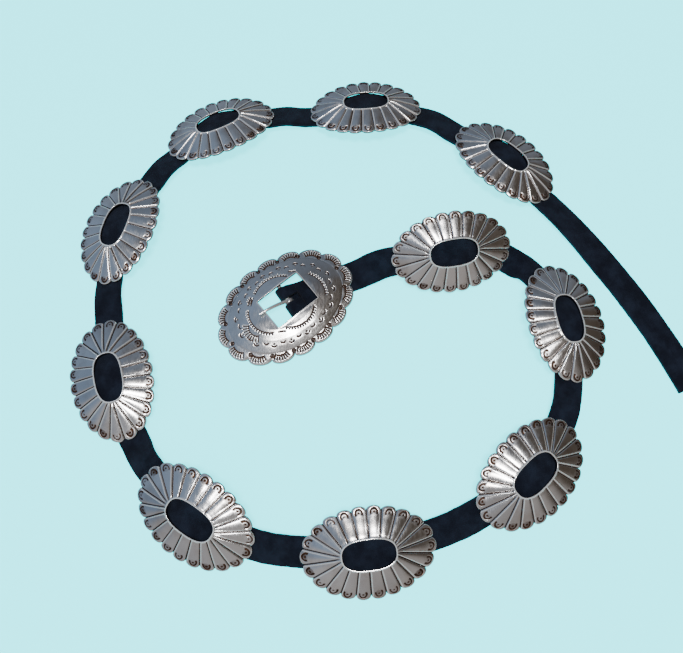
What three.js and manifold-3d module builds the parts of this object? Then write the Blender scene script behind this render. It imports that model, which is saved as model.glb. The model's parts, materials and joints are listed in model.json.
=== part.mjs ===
// A concho belt that lies in a loose coil: ten scalloped oval silver conchos and a stamped buckle on
// one black suede strap. Millimetres and degrees, +Z up. The origin is the middle of the footprint,
// on the surface that the belt lies on.
import * as THREE from 'three';
import { mergeVertices } from 'three/addons/utils/BufferGeometryUtils.js';
import Module from 'manifold-3d';

const wasm = await Module();
wasm.setup();

// Strap
const strapWidth = 16;
const strapThickness = 2.4;
const conchoSpacing = 94; // strap length from one concho's middle to the next, as first set out
const foldedEnd = 14; // stretch folded back under the strap, from the heel bar
const slotLength = 10.4; // slot for the tongue, from the fold's edge
const slotWidth = 3.6;
const strapHeading = 25; // where the strap starts off, at the buckle
const strapFlare = 0.9; // at its folded end the strap is this much wider on each side

// Concho
const conchoLength = 70;
const conchoWidth = 46.2;
const holeLength = 27.2;
const holeWidth = 14.8;
const holeFullness = 2.6; // exponent of the hole's oval: 2 is an ellipse, and more is blunter
const petalGather = 0.75; // how much the grooves crowd together at the two ends of the hole
const conchoPlate = 1.1;
const conchoRise = 4.6; // from the rim up to the lip of the hole
const conchoBend = 3.5; // the plate is bent along its length, and its ends are this far down
const petalCount = 22;
const petalPuff = 0.4; // how far a petal's ridge stands above the grooves beside it
const petalNotch = 2; // depth of the rim between two petals
const keeperWidth = 6;
const keeperThickness = 1.2;

// Buckle
const buckleLength = 85.6;
const buckleWidth = 60.6;
const bucklePlate = 1.5;
const buckleRise = 6.4; // from the rim up to the edge of the window
const lobeCount = 16;
const lobeNotch = 3;
const lobeShift = 0.15; // how far the lobes are turned from the plate's long axis, as a share of one
const windowLength = 28;
const windowWidth = 20;
const windowTurn = 5; // the window is cut this far off square
const windowShift = 2.5; // the window sits this far towards the strap
const windowOffset = 0.7; // and, with the heel bar, this far to the left of the plate's middle
const buckleTurn = 9.5; // how far the buckle is turned against the strap
const barDiameter = 2.4;
const barShift = 3.1; // the heel bar's place, from the buckle's middle towards the strap
const postThickness = 2.2;

// Tongue
const tongueLength = 18.7;
const tongueDiameter = 2.1;
const tongueWall = 1.1; // metal of the loop round the heel bar
const tongueLoopWidth = 2.4;
const tongueShift = 0.1; // the loop's place along the heel bar
const tongueTurn = 3; // the tongue lies this far off square to the bar

// Clearance between pieces that rest on each other or slide
const clearance = 0.3;

// Each row is the stretch of strap that leads to the next concho, or to the free end: its length as a
// share of the spacing, how far it turns in its first and its second half, how far the concho and the
// strap under it lean, with their left side up, as one goes from the buckle to the free end, and how
// far the concho's petals are turned from its long axis, as a share of one petal.
const route = [
  { to: 'concho_01', span: 1.04, firstTurn: -13, secondTurn: -2, lean: 29, petalShift: 0.5 },
  { to: 'concho_02', span: 0.91, firstTurn: -43, secondTurn: -48, lean: -9, petalShift: 0.4 },
  { to: 'concho_03', span: 0.97, firstTurn: -25, secondTurn: -31, lean: -12, petalShift: 0.35 },
  { to: 'concho_04', span: 1.01, firstTurn: -20, secondTurn: -16, lean: -13, petalShift: 0.35 },
  { to: 'concho_05', span: 0.98, firstTurn: -15, secondTurn: -26, lean: -19, petalShift: 0.6 },
  { to: 'concho_06', span: 0.95, firstTurn: -21, secondTurn: -19, lean: -4, petalShift: 0 },
  { to: 'concho_07', span: 0.97, firstTurn: -11, secondTurn: -20, lean: -12, petalShift: 0.8 },
  { to: 'concho_08', span: 0.96, firstTurn: -23, secondTurn: -26, lean: -15, petalShift: 0.85 },
  { to: 'concho_09', span: 0.98, firstTurn: -25, secondTurn: 4, lean: -14, petalShift: 0.9 },
  { to: 'concho_10', span: 1.01, firstTurn: -33, secondTurn: -16, lean: -10, petalShift: 0.4 },
  { to: 'free end', span: 1.81, firstTurn: -12, secondTurn: -12, lean: 0, petalShift: 0 },
];

// Rings of a concho plate, from the lip of the hole to the rim: how far out, how far down the rise,
// how much of the petal's puff shows, how much of the notch, and the points that one petal has there.
const conchoRings = [
  { out: 0, down: 0, puff: 0, notch: 0, points: 2 },
  { out: 0.5, down: 0.44, puff: 1, notch: 0, points: 2 },
  { out: 1, down: 1, puff: 0.5, notch: 1, points: 4 },
];

// Rings of the buckle plate outside the window: the size of the oval as a share of the plate, how far
// down the rise, how much of the notch, and the points that one lobe has there.
const buckleRings = [
  { size: 0.62, down: 0.28, notch: 0, points: 3 },
  { size: 0.82, down: 0.81, notch: 0, points: 3 },
  { size: 1, down: 1, notch: 1, points: 6 },
];

// The tongue's middle line, from its loop to its tip: shares of its length, of its rise to the plate's
// edge that it rests on, and of its thickness.
const tongueLine = [
  { reach: 0.02, rise: 0.33, thickness: 1 },
  { reach: 0.3, rise: 0.76, thickness: 1 },
  { reach: 0.62, rise: 1, thickness: 0.9 },
  { reach: 1, rise: 1.03, thickness: 0.65 },
];

const radians = THREE.MathUtils.degToRad;
const zAxis = new THREE.Vector3(0, 0, 1);

// Levels above the surface that the belt lies on
const rimLevel = strapThickness + clearance + 0.05; // the conchos' ends lie on the strap
const archRise = 0.88 * (conchoRise + conchoBend); // the strap is arched up into each concho
const archReach = 0.45 * conchoLength;
const heldLength = 0.06 * conchoLength; // the strap stays straight this far each side of a keeper
const seatReach = 0.53 * conchoLength; // and it lies in the concho's plane this far
const barLevel = strapThickness + clearance + barDiameter / 2;
const foldRadius = barDiameter / 2 + clearance + strapThickness / 2;
const leadLength = 0.35 * buckleLength; // the strap is straight as far as this under the buckle

// The buckle's free end lies on the surface, and the other end lies on the strap.
const buckleTilt = Math.atan((strapThickness + clearance) / (0.88 * buckleLength));
const buckleLevel = (buckleLength / 2) * Math.sin(buckleTilt);

const silver = { color: 0x9a9c9c, roughness: 0.3, metalness: 1 };
const suede = { color: 0x14161d, roughness: 0.95, metalness: 0 };

// Joins rings of points into a closed skin. The rings follow each other round the section of the
// piece, outwards over the top and back underneath, and a ring may have twice the points of the last.
function ringSkin(rings) {
  const points = rings.flat();
  const starts = [];
  let total = 0;
  for (const ring of rings) {
    starts.push(total);
    total += ring.length;
  }
  const index = [];
  for (let r = 0; r < rings.length; r++) {
    const next = (r + 1) % rings.length;
    const few = Math.min(rings[r].length, rings[next].length);
    const stepA = rings[r].length / few;
    const stepB = rings[next].length / few;
    for (let i = 0; i < few; i++) {
      const a = starts[r] + i * stepA;
      const aEnd = starts[r] + ((i + 1) * stepA) % rings[r].length;
      const b = starts[next] + i * stepB;
      const bEnd = starts[next] + ((i + 1) * stepB) % rings[next].length;
      if (stepB === 2) {
        index.push(a, b, b + 1, a, b + 1, aEnd, aEnd, b + 1, bEnd);
      } else if (stepA === 2) {
        index.push(a, b, a + 1, a + 1, b, bEnd, a + 1, bEnd, aEnd);
      } else {
        index.push(a, b, bEnd, a, bEnd, aEnd);
      }
    }
  }
  return indexedGeometry(points, index);
}

// Joins equal outlines into a solid with flat ends. Each outline runs the same way round.
function loft(outlines) {
  const size = outlines[0].length;
  const index = [];
  for (let s = 0; s + 1 < outlines.length; s++) {
    for (let i = 0; i < size; i++) {
      const j = (i + 1) % size;
      const a = s * size;
      const b = a + size;
      index.push(a + i, a + j, b + j, a + i, b + j, b + i);
    }
  }
  const last = (outlines.length - 1) * size;
  for (let i = 1; i + 1 < size; i++) {
    index.push(0, i + 1, i, last, last + i, last + i + 1);
  }
  return indexedGeometry(outlines.flat(), index);
}

function indexedGeometry(points, index) {
  const geometry = new THREE.BufferGeometry().setFromPoints(points);
  geometry.setIndex(index);
  return geometry;
}

function toSolid(geometry) {
  const bare = geometry.clone();
  bare.deleteAttribute('normal');
  bare.deleteAttribute('uv');
  const merged = mergeVertices(bare, 1e-4);
  return new wasm.Manifold(new wasm.Mesh({
    numProp: 3,
    vertProperties: new Float32Array(merged.attributes.position.array),
    triVerts: new Uint32Array(merged.index.array),
  }));
}

function toGeometry(solid) {
  const mesh = solid.getMesh();
  const geometry = new THREE.BufferGeometry();
  geometry.setAttribute('position', new THREE.BufferAttribute(mesh.vertProperties, 3));
  geometry.setIndex(new THREE.BufferAttribute(mesh.triVerts, 1));
  return geometry;
}

function box(x, y, z, width, depth, height) {
  const geometry = new THREE.BoxGeometry(width, depth, height);
  return toSolid(geometry.translate(x, y, z));
}

function pieceMesh(name, geometry, finish) {
  geometry.computeVertexNormals();
  const mesh = new THREE.Mesh(geometry, new THREE.MeshStandardMaterial(finish));
  mesh.name = name;
  return mesh;
}

// Points that stand evenly along the outline of an oval, from the end of its long axis round. They
// start a share of the outline further on, and gather crowds them together at the oval's two ends.
function evenOval(length, width, count, { start = 0, fullness = 2, gather = 0 } = {}) {
  const fine = 1440;
  const stretch = (half, part) => half * Math.sign(part) * Math.abs(part) ** (2 / fullness);
  const pointAt = (turn) => new THREE.Vector3(
    stretch(length / 2, Math.cos(2 * Math.PI * turn)), stretch(width / 2, Math.sin(2 * Math.PI * turn)), 0);
  const travelled = [0];
  for (let i = 1; i <= fine; i++) {
    travelled.push(travelled[i - 1] + pointAt(i / fine).distanceTo(pointAt((i - 1) / fine)));
  }
  return Array.from({ length: count }, (_, i) => {
    const turn = i / count + start;
    const gathered = turn - (gather * Math.sin(4 * Math.PI * turn)) / (4 * Math.PI);
    const wanted = THREE.MathUtils.euclideanModulo(gathered, 1) * travelled[fine];
    const k = Math.max(travelled.findIndex((run) => run > wanted) - 1, 0);
    const part = (wanted - travelled[k]) / (travelled[k + 1] - travelled[k]);
    return pointAt((k + part) / fine);
  });
}

// Height of a rounded petal or lobe across its width: 0 in the groove at each side, 1 on its ridge.
function ridge(i, points) {
  return Math.sqrt(Math.sin((Math.PI * (i % points)) / points));
}

// The bend of a concho along its length, over the underside of its two ends.
function bentLevel(x) {
  return conchoBend * (1 - (x / (conchoLength / 2)) ** 2);
}

// One ring of the concho's surface, with the underside of the ends at height 0.
function conchoRing(row, height, petalShift) {
  const count = row.points * petalCount;
  const start = petalShift / petalCount;
  const lip = evenOval(holeLength, holeWidth, count, { start, fullness: holeFullness, gather: petalGather });
  const rim = evenOval(conchoLength, conchoWidth, count, { start });
  return rim.map((end, i) => {
    const crown = ridge(i, row.points);
    const notch = row.notch * petalNotch * (1 - crown);
    const outer = end.clone().multiplyScalar(1 - notch / end.length());
    const point = lip[i].clone().lerp(outer, row.out);
    point.z = height + bentLevel(point.x) + conchoRise * (1 - row.down) + petalPuff * row.puff * crown;
    return point;
  });
}

// Closes a stack of top rings with either a plate's underside or a flat floor far below.
function conchoSkin(petalShift, top, floor) {
  const above = conchoRings.map((row) => conchoRing(row, top, petalShift));
  const below = floor === undefined
    ? conchoRings.map((row) => conchoRing(row, 0, petalShift))
    : above.map((ring) => ring.map((p) => new THREE.Vector3(p.x, p.y, floor)));
  return ringSkin([...above, ...below.reverse()]);
}

// The plate and its keeper: a strip under the strap with a leg up to the plate at each side.
function conchoGeometry(petalShift) {
  const plate = toSolid(conchoSkin(petalShift, conchoPlate));
  const underPlate = toSolid(conchoSkin(petalShift, conchoPlate / 2, -rimLevel));
  const stripTop = archRise - clearance - rimLevel;
  const stripLevel = stripTop - keeperThickness / 2;
  const legInner = strapWidth / 2 + clearance + 0.2;
  const legPlace = legInner + keeperThickness / 2;
  const legTop = conchoBend + conchoRise + conchoPlate;
  const legHeight = legTop - stripLevel;
  const strip = box(0, 0, stripLevel, keeperWidth, 2 * (legInner + keeperThickness), keeperThickness);
  let keeper = strip;
  for (const side of [-1, 1]) {
    const leg = box(0, side * legPlace, stripLevel + legHeight / 2, keeperWidth, keeperThickness, legHeight);
    keeper = keeper.add(leg.intersect(underPlate));
  }
  return toGeometry(plate.add(keeper));
}

// The window's outline, with as many points as the ring of lobes outside it and one on each corner.
function windowRing(height) {
  const perSide = Math.round((buckleRings[0].points * lobeCount) / 4);
  const halfShort = Math.round(perSide * 0.42);
  const halfLong = perSide - halfShort;
  const x = windowLength / 2;
  const y = windowWidth / 2;
  const corners = [
    { from: [x, 0], to: [x, y], steps: halfShort },
    { from: [x, y], to: [0, y], steps: halfLong },
    { from: [0, y], to: [-x, y], steps: halfLong },
    { from: [-x, y], to: [-x, 0], steps: halfShort },
    { from: [-x, 0], to: [-x, -y], steps: halfShort },
    { from: [-x, -y], to: [0, -y], steps: halfLong },
    { from: [0, -y], to: [x, -y], steps: halfLong },
    { from: [x, -y], to: [x, 0], steps: halfShort },
  ];
  return corners.flatMap(({ from, to, steps }) => Array.from({ length: steps }, (_, i) => {
    const part = i / steps;
    const point = new THREE.Vector3(from[0] + part * (to[0] - from[0]), from[1] + part * (to[1] - from[1]), 0);
    point.applyAxisAngle(zAxis, radians(windowTurn));
    return point.add(new THREE.Vector3(windowShift, windowOffset, height + buckleRise));
  }));
}

function buckleRing(row, height) {
  const start = lobeShift / lobeCount;
  return evenOval(buckleLength, buckleWidth, row.points * lobeCount, { start }).map((end, i) => {
    const notch = row.notch * lobeNotch * (1 - ridge(i, row.points));
    const point = end.clone().multiplyScalar(row.size * (1 - notch / end.length()));
    point.z = height + buckleRise * (1 - row.down);
    return point;
  });
}

function buckleSkin(top, floor) {
  const stack = (height) => [windowRing(height), ...buckleRings.map((row) => buckleRing(row, height))];
  const above = stack(top);
  const below = floor === undefined
    ? stack(0)
    : above.map((ring) => ring.map((p) => new THREE.Vector3(p.x, p.y, floor)));
  return ringSkin([...above, ...below.reverse()]);
}

// The heel bar's height in the tilted buckle, over the rim's underside.
function barHeight() {
  return (barLevel - buckleLevel - barShift * Math.sin(buckleTilt)) / Math.cos(buckleTilt);
}

// The plate, with the heel bar held under it by a post outside each long edge of the window.
function buckleGeometry() {
  const plate = toSolid(buckleSkin(bucklePlate));
  const underPlate = toSolid(buckleSkin(bucklePlate / 2, -barDiameter));
  const windowHalf = windowWidth / 2 / Math.cos(radians(windowTurn))
    + (Math.abs(barShift - windowShift) + barDiameter / 2) * Math.tan(radians(windowTurn));
  const postPlace = windowHalf + clearance + postThickness / 2;
  const barLength = 2 * postPlace;
  const bar = new THREE.CylinderGeometry(barDiameter / 2, barDiameter / 2, barLength, 12);
  let buckle = plate.add(toSolid(bar.translate(barShift, windowOffset, barHeight())));
  const postTop = buckleRise + bucklePlate;
  const postFoot = barHeight() - barDiameter / 2;
  for (const side of [-1, 1]) {
    const post = box(barShift, windowOffset + side * postPlace, (postTop + postFoot) / 2,
      barDiameter, postThickness, postTop - postFoot);
    buckle = buckle.add(post.intersect(underPlate));
  }
  return toGeometry(buckle);
}

// The tongue about the heel bar's middle line: a loop round the bar and a tapering arm that rests on
// the far edge of the window.
function tongueGeometry() {
  const inner = barDiameter / 2 + clearance;
  const outer = inner + tongueWall;
  const half = tongueLoopWidth / 2;
  const section = [[inner, -half], [outer, -half], [outer, half], [inner, half], [inner, -half]];
  const loop = new THREE.LatheGeometry(section.map(([x, y]) => new THREE.Vector2(x, y)), 12);
  const edgeReach = windowLength / 2 - windowShift;
  const edgeLevel = buckleLevel - edgeReach * Math.sin(buckleTilt) + bucklePlate + buckleRise;
  const restLevel = edgeLevel + clearance + tongueDiameter / 2 - barLevel;
  const line = new THREE.CatmullRomCurve3(tongueLine.map(({ reach, rise }) => {
    const sideways = reach * tongueLength * Math.tan(radians(tongueTurn));
    return new THREE.Vector3(-reach * tongueLength, sideways, rise * restLevel);
  }));
  const steps = 8;
  const outlines = [];
  for (let i = 0; i <= steps; i++) {
    const part = i / steps;
    const along = line.getTangent(part);
    const side = new THREE.Vector3(0, 1, 0).cross(along).normalize();
    const across = along.clone().cross(side).normalize();
    const place = part * (tongueLine.length - 1);
    const row = Math.min(Math.floor(place), tongueLine.length - 2);
    const thickness = THREE.MathUtils.lerp(
      tongueLine[row].thickness, tongueLine[row + 1].thickness, place - row);
    const radius = (thickness * tongueDiameter) / 2;
    const middle = line.getPoint(part);
    outlines.push(Array.from({ length: 8 }, (_, k) => {
      const angle = (2 * Math.PI * (k + 0.5)) / 8;
      return middle.clone()
        .addScaledVector(side, radius * Math.cos(angle))
        .addScaledVector(across, radius * Math.sin(angle));
    }));
  }
  return toGeometry(toSolid(loop).add(toSolid(loft(outlines))));
}

// Walks along the strap from the heel bar to the free end. Returns its stations, with the length run
// so far, and the place and plane of each concho.
function layRoute() {
  const stations = [];
  const places = [];
  const walker = { x: 0, y: 0, heading: strapHeading, run: 0 };

  function stand() {
    stations.push({ ...walker });
  }

  function go(length, turn, steps) {
    for (let i = 0; i < steps; i++) {
      const half = radians(turn / steps / 2);
      const chord = (length / steps) * (half === 0 ? 1 : Math.sin(half) / half);
      const way = radians(walker.heading) + half;
      walker.x += chord * Math.cos(way);
      walker.y += chord * Math.sin(way);
      walker.heading += turn / steps;
      walker.run += length / steps;
      stand();
    }
  }

  stand();
  go(leadLength, 0, 10);
  let behind = leadLength;
  for (const { to, span, firstTurn, secondTurn, lean, petalShift } of route) {
    const last = to === 'free end';
    const bend = (span * conchoSpacing - behind - (last ? 0 : heldLength)) / 2;
    for (const turn of [firstTurn, secondTurn]) {
      go(bend, turn, Math.ceil(Math.max(Math.abs(turn) / 9, bend / 6.5)));
    }
    if (last) break;
    go(heldLength, 0, 3);
    places.push({ name: to, lean, petalShift, ...walker });
    go(heldLength, 0, 3);
    behind = heldLength;
  }
  return { stations, places: places.map((place) => ({ ...place, plane: seatPlane(place, stations) })) };
}

function ease(part) {
  const x = THREE.MathUtils.clamp(part, 0, 1);
  return (1 - Math.cos(Math.PI * x)) / 2;
}

// Half the strap's width. The flare of the folded end runs out under the first concho.
function strapHalf(run) {
  const flareEnd = conchoSpacing - holeLength / 2;
  const part = (run - flareEnd + conchoLength / 2) / (conchoLength / 2);
  return strapWidth / 2 + strapFlare * (1 - ease(part));
}

// How far the strap's lower edge is below its middle, in a plane with this normal.
function edgeDrop(normal, heading, run) {
  const way = radians(heading);
  return strapHalf(run) * Math.abs(normal.y * Math.cos(way) - normal.x * Math.sin(way));
}

function heightOn(plane, x, y) {
  return -(plane.constant + plane.normal.x * x + plane.normal.y * y) / plane.normal.z;
}

// The plane of a concho's seat, that of the strap's underside there. It is as low as the concho's rim
// and the strap's lower edge along the seat let it be.
function seatPlane(place, stations) {
  const { x, y, lean } = place;
  const way = radians(place.heading);
  const sine = Math.sin(radians(lean));
  const cosine = Math.cos(radians(lean));
  const normal = new THREE.Vector3(Math.sin(way) * sine, -Math.cos(way) * sine, cosine);
  const plane = new THREE.Plane().setFromNormalAndCoplanarPoint(normal, new THREE.Vector3(x, y, 0));
  const rimDrop = (conchoWidth / 2) * Math.abs(sine) - (rimLevel + conchoBend) * cosine;
  const strapDrops = stations
    .filter(({ run }) => Math.abs(run - place.run) <= seatReach)
    .map(({ x: sideX, y: sideY, heading, run }) => (
      edgeDrop(normal, heading, run) - heightOn(plane, sideX, sideY)));
  return plane.translate(new THREE.Vector3(0, 0, Math.max(rimDrop, ...strapDrops)));
}

// The planes that the strap lies in, and the stretch that each one holds for: the surface under the
// buckle, a plane at each concho, and the surface again under the free end.
function strapSeats(places) {
  const surface = new THREE.Plane(zAxis, 0);
  const last = places[places.length - 1];
  return [
    { plane: surface, from: -foldedEnd, to: buckleLength / 2 - barShift },
    ...places.map(({ plane, run }) => ({ plane, from: run - seatReach, to: run + seatReach })),
    { plane: surface, from: last.run + 2.5 * seatReach, to: Infinity },
  ];
}

// How far the strap's middle is over the plane that it lies in: off the heel bar, down over its folded
// end, and up in an arch behind each concho.
function strapRise(run, places) {
  const flat = strapThickness / 2;
  const overFold = barLevel + foldRadius;
  const overEnd = flat + strapThickness + clearance;
  let level = THREE.MathUtils.lerp(overFold, overEnd, ease(run / (0.85 * foldedEnd)));
  level = THREE.MathUtils.lerp(level, flat, ease((run - 1.05 * foldedEnd) / (0.8 * foldedEnd)));
  for (const place of places) {
    const part = (run - place.run) / archReach;
    if (Math.abs(part) < 1) level += archRise * (1 - part * part) ** 1.5;
  }
  return level;
}

// A point of the strap's middle line, and the direction square to the strap there. Between two seats
// the strap twists smoothly from the one plane to the other, and its lower edge stays on the surface.
function strapPoint(x, y, heading, run, seats, places) {
  const next = seats.findIndex(({ to }) => run <= to);
  const seat = seats[next];
  const before = seats[Math.max(next - 1, 0)];
  const share = ease((run - before.to) / (seat.from - before.to));
  const normal = before.plane.normal.clone().lerp(seat.plane.normal, share).normalize();
  const levels = [before, seat].map(({ plane }) => heightOn(plane, x, y));
  const level = Math.max(THREE.MathUtils.lerp(...levels, share), edgeDrop(normal, heading, run));
  const middle = new THREE.Vector3(x, y, level).addScaledVector(normal, strapRise(run, places));
  return { middle, normal };
}

// One cross-section of the strap. Its width is across, which is skew degrees off square.
function strapOutline(middle, along, across, skew, run) {
  const up = along.clone().cross(across).normalize().multiplyScalar(strapThickness / 2);
  const side = across.clone().multiplyScalar(strapHalf(run) / Math.cos(radians(skew)));
  const corners = [[-1, -1], [1, -1], [1, 1], [-1, 1]];
  return corners.map(([a, b]) => middle.clone().addScaledVector(side, a).addScaledVector(up, b));
}

// The folded end and the fold round the heel bar, both skewed as the bar is.
function foldOutlines() {
  const start = radians(strapHeading);
  const ahead = new THREE.Vector3(Math.cos(start), Math.sin(start), 0);
  const across = new THREE.Vector3(-ahead.y, ahead.x, 0).applyAxisAngle(zAxis, radians(buckleTurn));
  const outline = (reach, level, pitch) => {
    const middle = ahead.clone().multiplyScalar(reach).setZ(level);
    const along = ahead.clone().multiplyScalar(Math.cos(pitch)).setZ(Math.sin(pitch));
    return strapOutline(middle, along, across, buckleTurn, 0);
  };
  const outlines = [1, 0.5].map((part) => outline(part * foldedEnd, strapThickness / 2, Math.PI));
  const foldSteps = 6;
  for (let i = 0; i < foldSteps; i++) {
    const pitch = Math.PI * (1 - i / foldSteps);
    const reach = (-foldRadius * Math.sin(pitch)) / Math.cos(radians(buckleTurn));
    outlines.push(outline(reach, barLevel + foldRadius * Math.cos(pitch), pitch));
  }
  return outlines;
}

function strapGeometry(stations, places) {
  const seats = strapSeats(places);
  const outlines = foldOutlines();
  for (const { x, y, heading, run } of stations) {
    const way = radians(heading);
    const [behind, ahead] = [-0.5, 0.5].map((step) => strapPoint(
      x + step * Math.cos(way), y + step * Math.sin(way), heading, run + step, seats, places).middle);
    const { middle, normal } = strapPoint(x, y, heading, run, seats, places);
    const along = ahead.sub(behind).normalize();
    if (run === 0) along.set(Math.cos(way), Math.sin(way), 0);
    const skew = buckleTurn * (1 - THREE.MathUtils.clamp(run / leadLength, 0, 1));
    const across = normal.clone().cross(along).normalize().applyAxisAngle(normal, radians(skew));
    outlines.push(strapOutline(middle, along, across, skew, run));
  }
  const slotStart = -foldRadius - strapThickness;
  const slotEnd = slotLength - foldRadius - strapThickness / 2;
  const slotHeight = 2 * (barLevel + foldRadius + strapThickness);
  const slot = new THREE.BoxGeometry(slotEnd - slotStart, slotWidth, slotHeight);
  slot.translate((slotEnd + slotStart) / 2, tongueShift, 0);
  slot.rotateZ(radians(strapHeading + buckleTurn));
  return toGeometry(toSolid(loft(outlines)).subtract(toSolid(slot)));
}

// A concho lies on the strap, in its seat's plane.
function placeConcho(concho, { x, y, heading, lean, plane }) {
  concho.position.set(x, y, heightOn(plane, x, y)).addScaledVector(plane.normal, rimLevel);
  concho.rotation.set(radians(lean), 0, radians(heading), 'ZYX');
  return concho;
}

function buildBelt() {
  const belt = new THREE.Group();
  const { stations, places } = layRoute();
  belt.add(pieceMesh('strap', strapGeometry(stations, places), suede));

  for (const place of places) {
    const concho = pieceMesh(place.name, conchoGeometry(place.petalShift), silver);
    belt.add(placeConcho(concho, place));
  }

  // The heel bar's middle is where the strap's route starts.
  const fromBar = new THREE.Group();
  fromBar.rotation.z = radians(strapHeading + buckleTurn);
  const buckle = pieceMesh('buckle', buckleGeometry(), silver);
  const barPlace = barShift * Math.cos(buckleTilt) - barHeight() * Math.sin(buckleTilt);
  buckle.position.set(-barPlace, -windowOffset, buckleLevel);
  buckle.rotation.y = -buckleTilt;
  fromBar.add(buckle);
  const tongue = pieceMesh('tongue', tongueGeometry(), silver);
  tongue.position.set(0, tongueShift, barLevel);
  fromBar.add(tongue);
  belt.add(fromBar);
  return belt;
}

const belt = buildBelt();
belt.updateMatrixWorld(true);
const bounds = new THREE.Box3().setFromObject(belt, true);
const middle = bounds.getCenter(new THREE.Vector3());
belt.position.set(-middle.x, -middle.y, -bounds.min.z);

export default belt;
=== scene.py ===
"""A concho belt lying in a loose coil: stamped silver conchos and buckle on a black suede strap."""
import json
import math

import bpy
import numpy as np
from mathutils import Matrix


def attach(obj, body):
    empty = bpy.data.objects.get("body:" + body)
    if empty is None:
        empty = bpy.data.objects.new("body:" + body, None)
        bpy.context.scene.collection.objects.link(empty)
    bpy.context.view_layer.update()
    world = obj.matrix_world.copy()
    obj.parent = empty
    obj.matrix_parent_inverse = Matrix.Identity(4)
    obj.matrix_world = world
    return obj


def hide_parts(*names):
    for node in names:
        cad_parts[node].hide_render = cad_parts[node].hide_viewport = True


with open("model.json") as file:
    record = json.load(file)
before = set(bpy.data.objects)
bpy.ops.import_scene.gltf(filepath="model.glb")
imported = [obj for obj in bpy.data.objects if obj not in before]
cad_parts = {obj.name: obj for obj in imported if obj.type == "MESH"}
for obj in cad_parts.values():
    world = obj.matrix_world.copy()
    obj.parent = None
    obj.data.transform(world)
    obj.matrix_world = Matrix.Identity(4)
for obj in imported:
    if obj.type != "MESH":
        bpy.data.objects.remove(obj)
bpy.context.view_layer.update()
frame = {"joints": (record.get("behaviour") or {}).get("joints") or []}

MM = 0.001  # the sizes below are in millimetres, and meshes are in metres

# Strap
STRAP_WIDTH, STRAP_THICKNESS = 16.0, 2.4
CONCHO_SPACING = 94.0
FOLDED_END = 14.0
SLOT_LENGTH, SLOT_WIDTH = 10.4, 3.6
TAB_SLOT_LENGTH = 6.9  # the folded end's own slot only has to pass the tongue's loop
STRAP_HEADING = 25.0
STRAP_FLARE = 0.9

# Concho
CONCHO_LENGTH, CONCHO_WIDTH = 70.0, 46.2
HOLE_LENGTH, HOLE_WIDTH = 27.2, 14.8
HOLE_FULLNESS, PETAL_GATHER = 2.6, 0.75
CONCHO_PLATE = 1.1
CONCHO_RISE, CONCHO_BEND = 4.6, 3.5
PETALS = 22
PETAL_PUFF, PETAL_NOTCH = 0.2, 2.35
KEEPER_WIDTH, KEEPER_THICKNESS = 6.0, 1.2

# Buckle
BUCKLE_LENGTH, BUCKLE_WIDTH = 85.6, 60.6
BUCKLE_PLATE, BUCKLE_RISE = 1.5, 6.4
LOBES, LOBE_NOTCH, LOBE_SHIFT = 16, 3.0, 0.15
WINDOW_LENGTH, WINDOW_WIDTH, WINDOW_TURN = 28.0, 20.0, 5.0
WINDOW_SHIFT, WINDOW_OFFSET = 2.5, 0.7
BUCKLE_TURN = 9.5
BAR_DIAMETER, BAR_SHIFT = 2.4, 3.1
POST_THICKNESS = 2.2

# Tongue
TONGUE_LENGTH, TONGUE_DIAMETER = 18.7, 2.1
TONGUE_LOOP_WIDTH, TONGUE_WALL = 2.4, 1.1
TONGUE_SHIFT, TONGUE_TURN = 0.1, 3.0

CLEARANCE = 0.3

# Stretches of strap that lead to each concho and to the free end: length as a share of the spacing,
# turn in the first and in the second half, the lean of the concho at its end, and how far its petals
# are turned from its long axis, as a share of one petal.
ROUTE = [
    (1.04, -13, -2, 29, 0.5),
    (0.91, -43, -48, -9, 0.4),
    (0.97, -25, -31, -12, 0.35),
    (1.01, -20, -16, -13, 0.35),
    (0.98, -15, -26, -19, 0.6),
    (0.95, -21, -19, -4, 0),
    (0.97, -11, -20, -12, 0.8),
    (0.96, -23, -26, -15, 0.85),
    (0.98, -25, 4, -14, 0.9),
    (1.01, -33, -16, -10, 0.4),
    (1.81, -12, -12, 0, 0),
]

# Levels over the surface, and lengths along the strap, that follow from the sizes
RIM_SPARE = 0.05
RIM_LEVEL = STRAP_THICKNESS + CLEARANCE + RIM_SPARE  # the concho's rim over the strap's underside
ARCH_RISE = 0.88 * (CONCHO_RISE + CONCHO_BEND)  # how far the strap comes up into a concho
ARCH_REACH = 0.45 * CONCHO_LENGTH  # half the length of that arch
HOLE_SWELL, HOLE_SPREAD = 1.05, 0.35  # the strap swells up and to each side under each hole
HOLE_REACH = 0.6 * HOLE_LENGTH  # half the length of that swelling
HELD_LENGTH = 0.06 * CONCHO_LENGTH  # half the straight stretch in a concho's middle
SEAT_REACH = 0.53 * CONCHO_LENGTH  # half the stretch that keeps the concho's plane
BAR_LEVEL = STRAP_THICKNESS + CLEARANCE + BAR_DIAMETER / 2
FOLD_RADIUS = BAR_DIAMETER / 2 + CLEARANCE + STRAP_THICKNESS / 2
LEAD_LENGTH = 0.35 * BUCKLE_LENGTH  # the straight stretch behind the heel bar
SLOT_END = SLOT_LENGTH - FOLD_RADIUS - STRAP_THICKNESS / 2
TAB_SLOT_END = TAB_SLOT_LENGTH - FOLD_RADIUS - STRAP_THICKNESS / 2
BUCKLE_TILT = math.atan((STRAP_THICKNESS + CLEARANCE) / (0.88 * BUCKLE_LENGTH))
BUCKLE_LEVEL = BUCKLE_LENGTH / 2 * math.sin(BUCKLE_TILT)
BAR_HEIGHT = (BAR_LEVEL - BUCKLE_LEVEL - BAR_SHIFT * math.sin(BUCKLE_TILT)) / math.cos(BUCKLE_TILT)

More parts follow.
